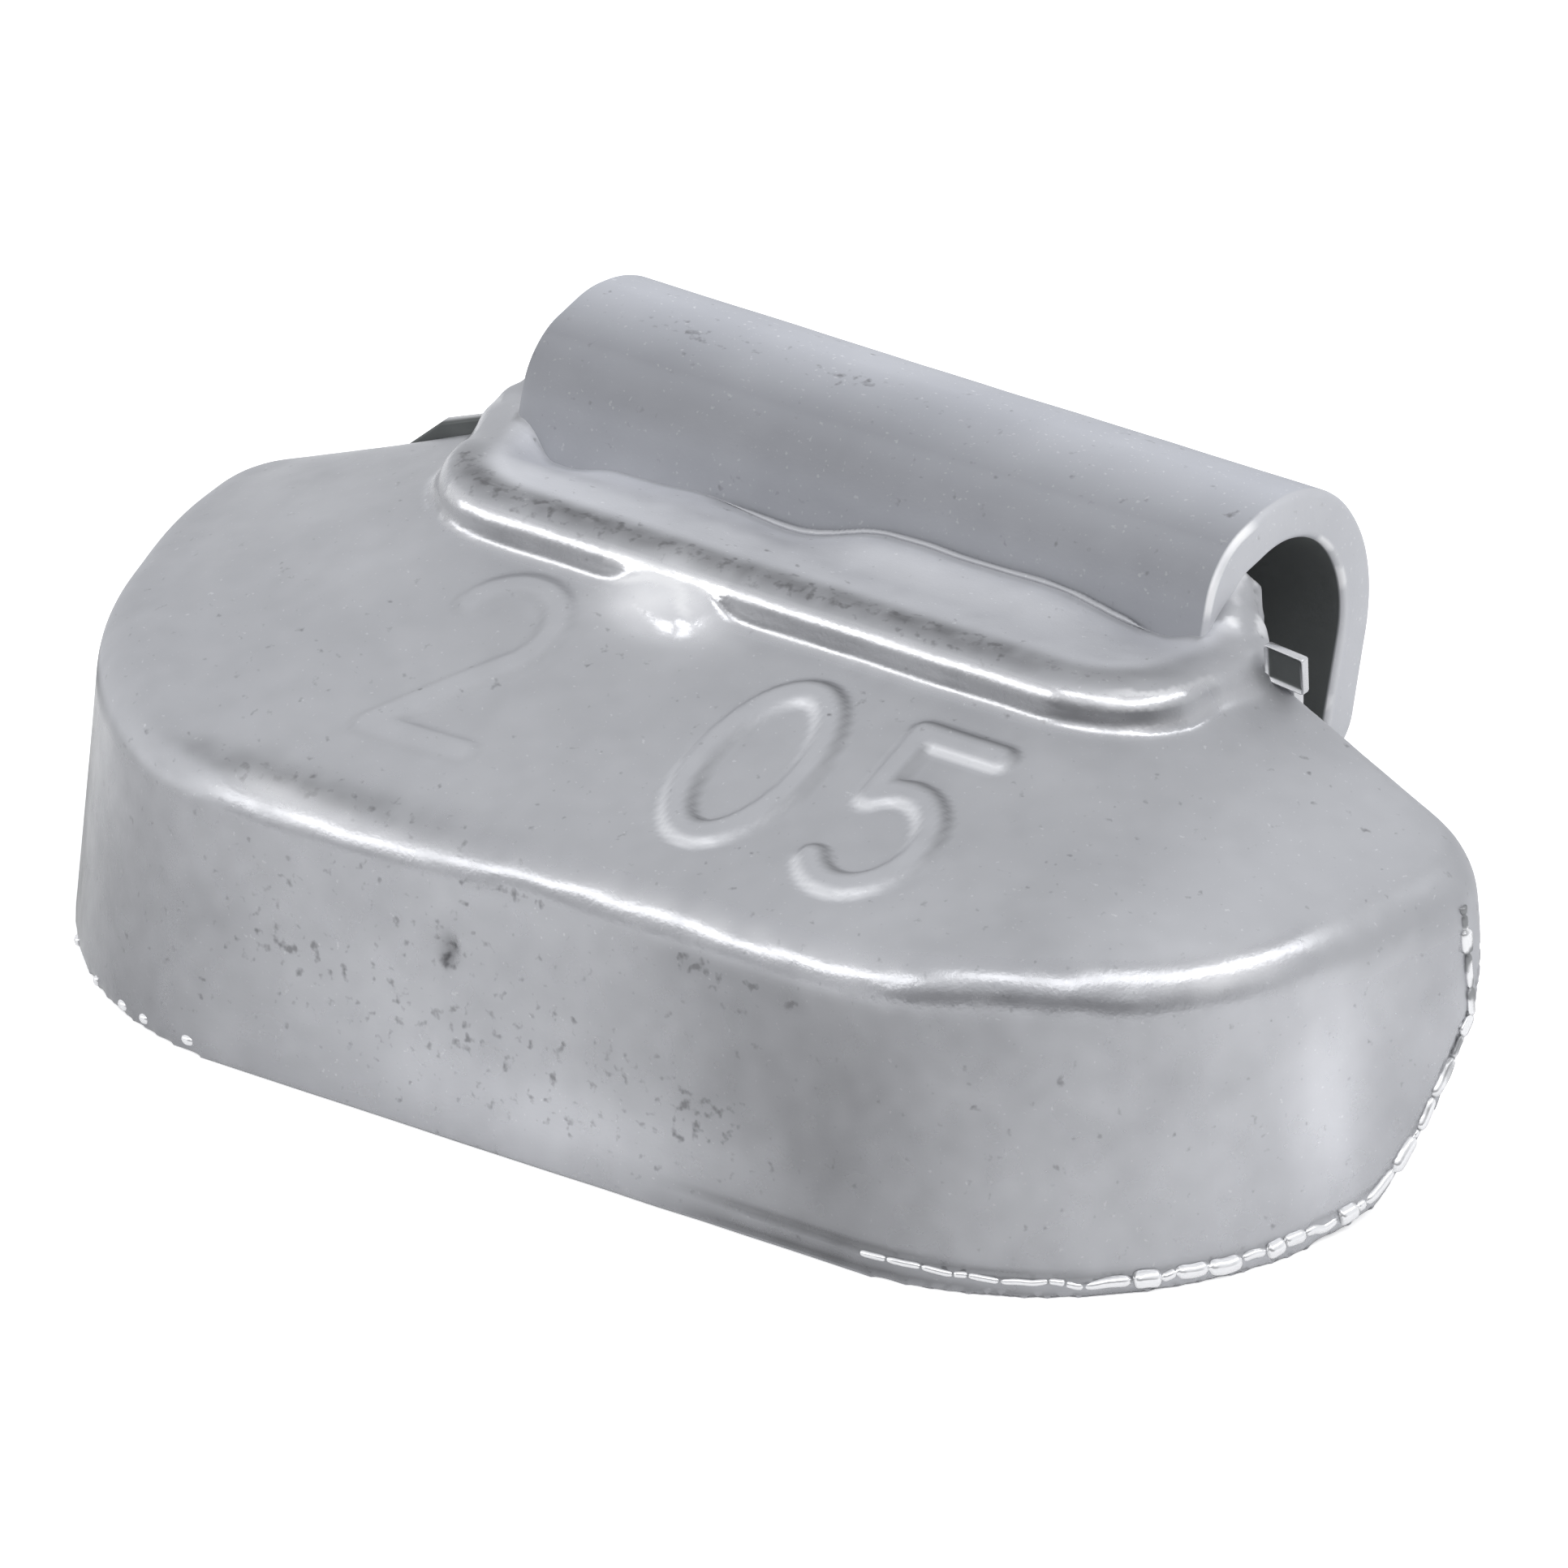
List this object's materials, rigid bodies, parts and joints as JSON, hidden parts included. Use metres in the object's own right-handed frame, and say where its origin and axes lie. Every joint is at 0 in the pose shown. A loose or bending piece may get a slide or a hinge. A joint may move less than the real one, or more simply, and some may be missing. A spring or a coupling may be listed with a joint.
{
  "type": "wheel balance weight",
  "caption": "Clip-on wheel balance weight: a small cast zinc body with a bent spring-steel clip that grips the lip of a wheel's flange.",
  "frame": {"origin": "middle of the flat seat under the cast body", "axes": "+X along the wheel's flange, +Y towards the flange's lip and the clip, +Z away from the wheel"},
  "size_m": [0.0204, 0.0118, 0.0074],
  "materials": {
    "zinc_casting": "satin silver-grey coat over die-cast zinc",
    "spring_steel": "satin zinc-coated spring steel"
  },
  "bodies": {
    "root": {"weight_body": "zinc_casting", "rim_clip": "spring_steel"}
  },
  "joints": []
}
